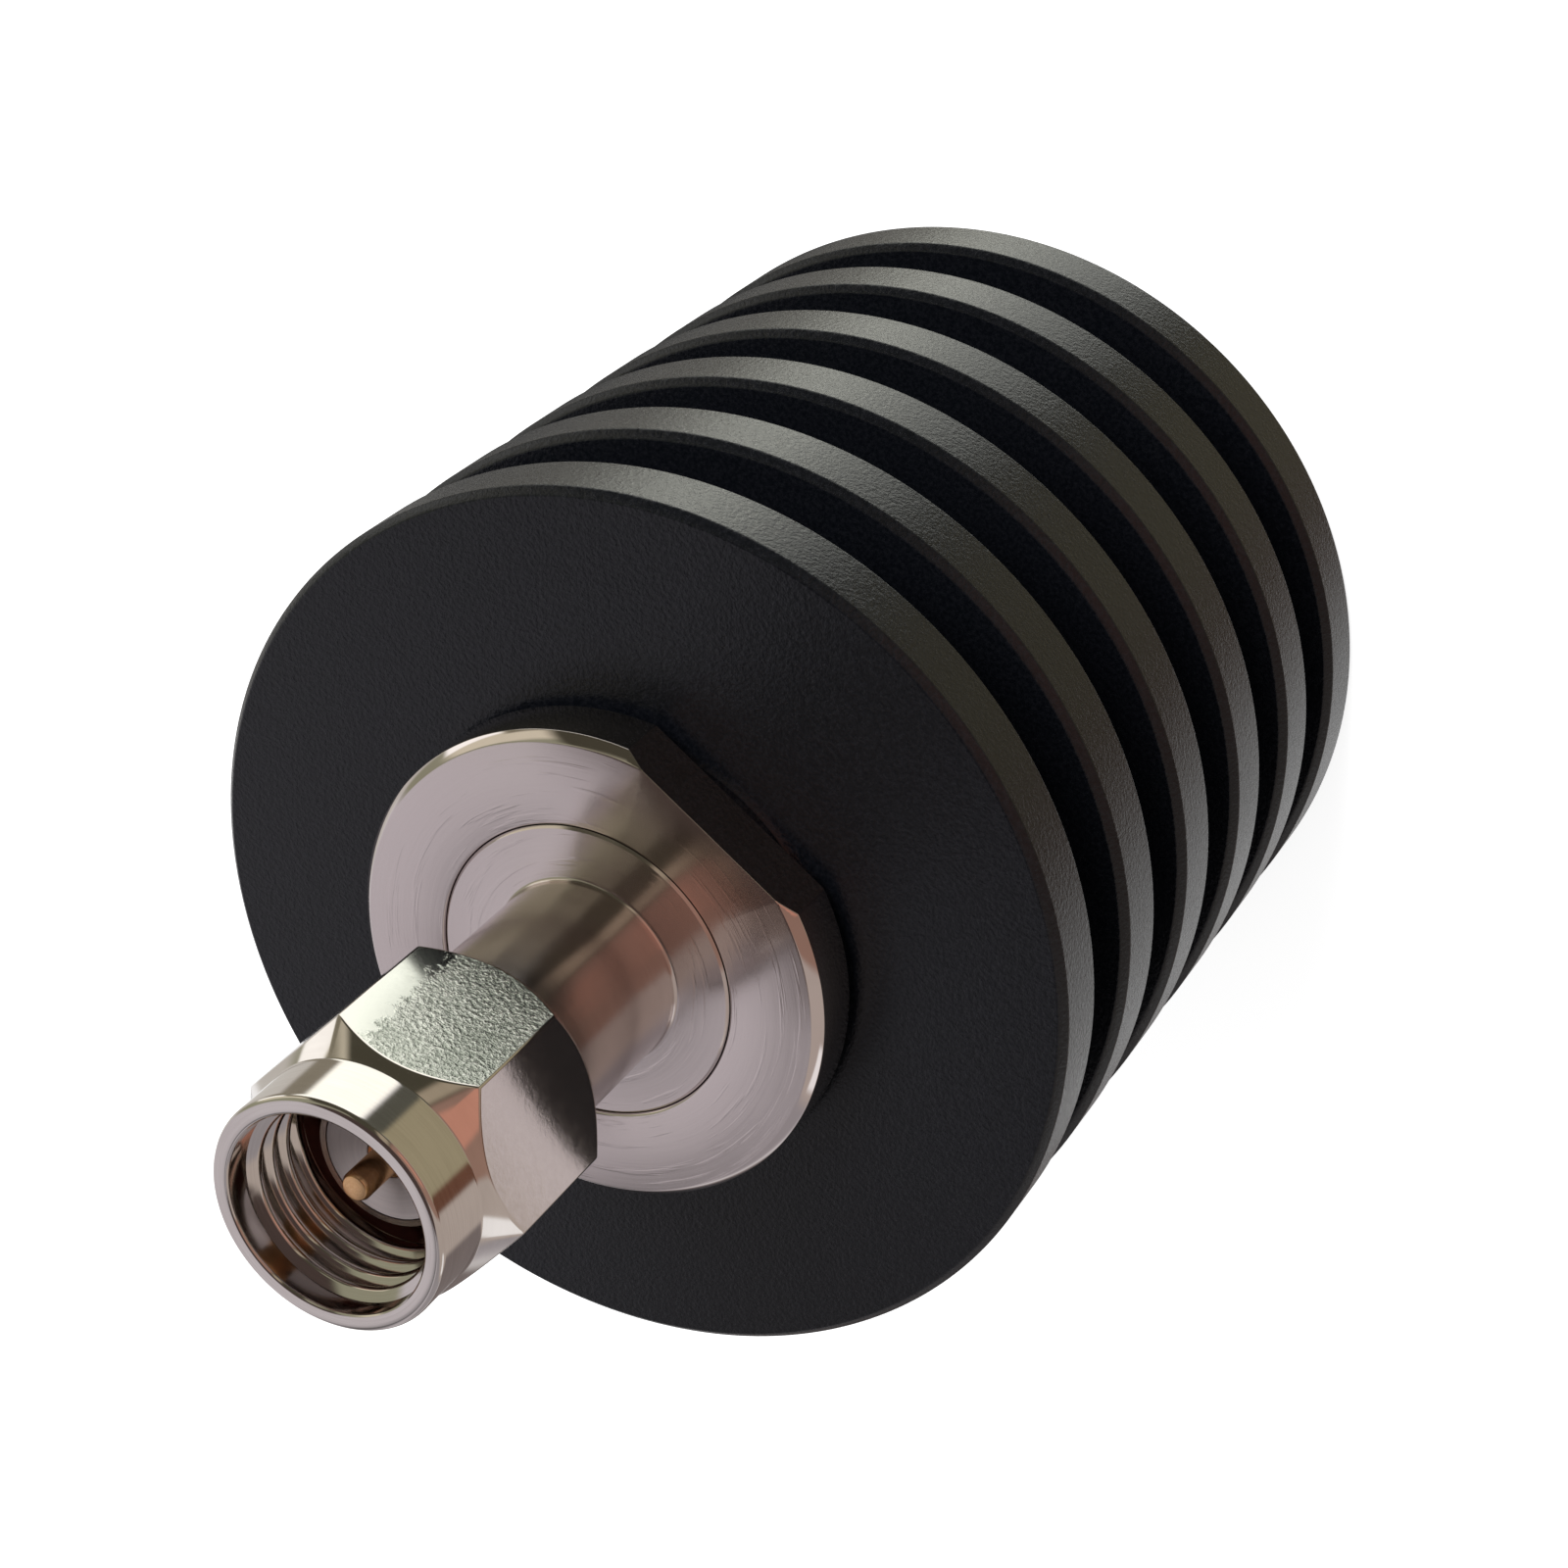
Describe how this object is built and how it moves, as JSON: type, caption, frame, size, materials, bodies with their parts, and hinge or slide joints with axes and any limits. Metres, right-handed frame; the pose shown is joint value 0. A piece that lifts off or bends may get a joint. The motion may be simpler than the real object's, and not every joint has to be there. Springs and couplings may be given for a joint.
{
  "type": "coaxial terminator",
  "caption": "Finned coaxial power terminator with a threaded plug connector, a free-spinning hexagonal coupling nut and a flange with wrench flats.",
  "frame": {"origin": "centre of the heatsink's flat rear face, on which the part stands", "axes": "+Z along the coaxial axis towards the plug's mouth; the flange's wrench flats face -Y and +Y; +X completes the frame"},
  "size_m": [0.03, 0.03, 0.0457],
  "materials": {
    "black_anodised_aluminium": "bead blasted and black anodised, satin",
    "turned_nickel": "nickel plated over turned brass, fine turning marks",
    "bright_nickel": "bright nickel plated brass",
    "spring_bronze": "plain spring bronze wire",
    "silicone": "matt silicone rubber",
    "gold_plate": "gold plated",
    "white_dielectric": "machined white fluoropolymer",
    "amber_bead": "machined amber plastic",
    "copper": "milled copper",
    "steel": "stainless steel",
    "solder": "dull solder",
    "ceramic": "fired aluminium nitride, fine grain",
    "resistor_film": "thick resistor film"
  },
  "bodies": {
    "terminator": {"heatsink": "black_anodised_aluminium", "clamp_flange": "turned_nickel", "connector_body": "turned_nickel", "interface_gasket": "silicone", "centre_pin": "gold_plate", "front_dielectric": "white_dielectric", "support_bead": "amber_bead", "bead_retainer": "turned_nickel", "load_carrier": "copper", "load_cover": "copper", "cover_screws": "steel", "chip_solder": "solder", "ceramic_substrate": "ceramic", "resistor_film": "resistor_film", "input_pad": "gold_plate", "ground_pad": "gold_plate", "input_tab": "gold_plate"},
    "nut": {"coupling_nut": "bright_nickel", "retaining_ring": "spring_bronze"}
  },
  "joints": [
    {"name": "nut_spin", "type": "hinge", "parent": "terminator", "child": "nut", "pos_m": [0, 0, 0.0375], "axis": [0, 0, 1], "continuous": true}
  ]
}
